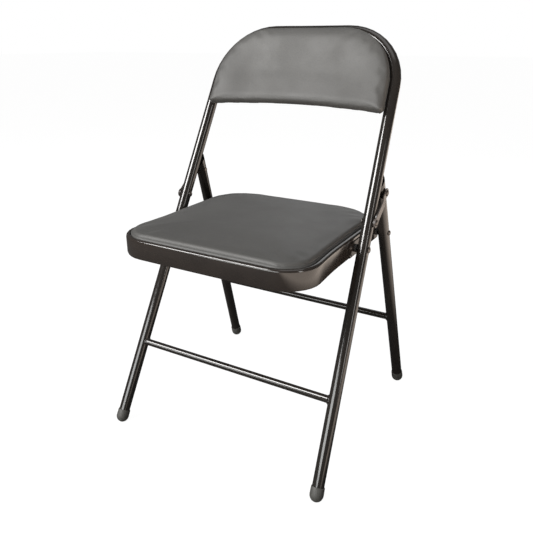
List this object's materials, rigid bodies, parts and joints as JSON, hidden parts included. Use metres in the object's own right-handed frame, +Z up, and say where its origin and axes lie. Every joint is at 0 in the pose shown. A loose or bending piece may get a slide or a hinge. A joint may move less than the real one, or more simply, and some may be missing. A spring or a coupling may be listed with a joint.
{
  "type": "folding chair",
  "caption": "Folding chair with an arched steel tube frame, a padded vinyl back inside the arch, a padded seat in a pressed rim, and rear legs that fold on links.",
  "frame": {"origin": "on the floor, at the middle of the chair's width and depth", "axes": "+Z up, the sitter faces -Y, +X is to the right when the chair is seen from its front with -Y towards the viewer"},
  "size_m": [0.4766, 0.4673, 0.775],
  "materials": {
    "frame_paint": "glossy near-black enamel",
    "seat_paint": "glossy dark brown-black enamel",
    "link_steel": "satin dark enamel",
    "rivet_steel": "satin dark enamel",
    "bush_plastic": "matt black",
    "screw_steel": "plain zinc-plated",
    "vinyl": "fine-grained grey vinyl, low sheen",
    "board": "raw plywood",
    "foot_rubber": "matt dark grey"
  },
  "bodies": {
    "front_frame": {"front_frame_tube": "frame_paint", "front_crossbar": "frame_paint", "front_foot_left": "foot_rubber", "front_foot_right": "foot_rubber", "back_panel": "frame_paint", "back_board": "board", "back_pad": "vinyl", "back_screw_low_left": "screw_steel", "back_screw_low_right": "screw_steel", "back_screw_high_left": "screw_steel", "back_screw_high_right": "screw_steel", "seat_hinge_rivet_left": "rivet_steel", "seat_hinge_rivet_right": "rivet_steel", "seat_hinge_bush_left": "bush_plastic", "seat_hinge_bush_right": "bush_plastic", "link_hinge_rivet_left": "rivet_steel", "link_hinge_rivet_right": "rivet_steel", "link_hinge_washer_left": "link_steel", "link_hinge_washer_right": "link_steel"},
    "seat": {"seat_frame": "seat_paint", "seat_board": "board", "seat_cushion": "vinyl", "seat_plate_left": "seat_paint", "seat_plate_right": "seat_paint", "plate_rivet_left_1": "rivet_steel", "plate_rivet_left_2": "rivet_steel", "plate_rivet_left_3": "rivet_steel", "plate_rivet_left_4": "rivet_steel", "plate_rivet_right_1": "rivet_steel", "plate_rivet_right_2": "rivet_steel", "plate_rivet_right_3": "rivet_steel", "plate_rivet_right_4": "rivet_steel", "seat_screw_front_left": "screw_steel", "seat_screw_front_right": "screw_steel", "seat_screw_rear_left": "screw_steel", "seat_screw_rear_right": "screw_steel", "leg_hinge_rivet_left": "rivet_steel", "leg_hinge_rivet_right": "rivet_steel", "leg_hinge_bush_left": "bush_plastic", "leg_hinge_bush_right": "bush_plastic"},
    "rear_frame": {"rear_leg_left": "frame_paint", "rear_leg_right": "frame_paint", "rear_crossbar": "frame_paint", "rear_foot_left": "foot_rubber", "rear_foot_right": "foot_rubber", "link_top_pin_left": "rivet_steel", "link_top_pin_right": "rivet_steel"},
    "left_link": {"link_left": "link_steel", "link_top_head_left": "rivet_steel"},
    "right_link": {"link_right": "link_steel", "link_top_head_right": "rivet_steel"}
  },
  "joints": [
    {"name": "seat_fold", "type": "hinge", "parent": "front_frame", "child": "seat", "pos_m": [0, -0.01667, 0.39878], "axis": [-1, 0, 0], "range_deg": [0, 105.89]},
    {"name": "rear_leg_fold", "type": "hinge", "parent": "seat", "child": "rear_frame", "pos_m": [0, 0.09135, 0.4005], "axis": [1, 0, 0], "range_deg": [0, 59.62]},
    {"name": "left_link_swing", "type": "hinge", "parent": "front_frame", "child": "left_link", "pos_m": [0, 0.00695, 0.44354], "axis": [-1, 0, 0], "range_deg": [0, 134.96]},
    {"name": "right_link_swing", "type": "hinge", "parent": "front_frame", "child": "right_link", "pos_m": [0, 0.00695, 0.44354], "axis": [-1, 0, 0], "range_deg": [0, 134.96]}
  ],
  "couplings": [
    {"joint": "rear_leg_fold", "follows": "seat_fold", "ratio": 0.56285},
    {"joint": "left_link_swing", "follows": "seat_fold", "ratio": 1.2743},
    {"joint": "right_link_swing", "follows": "seat_fold", "ratio": 1.2743}
  ]
}
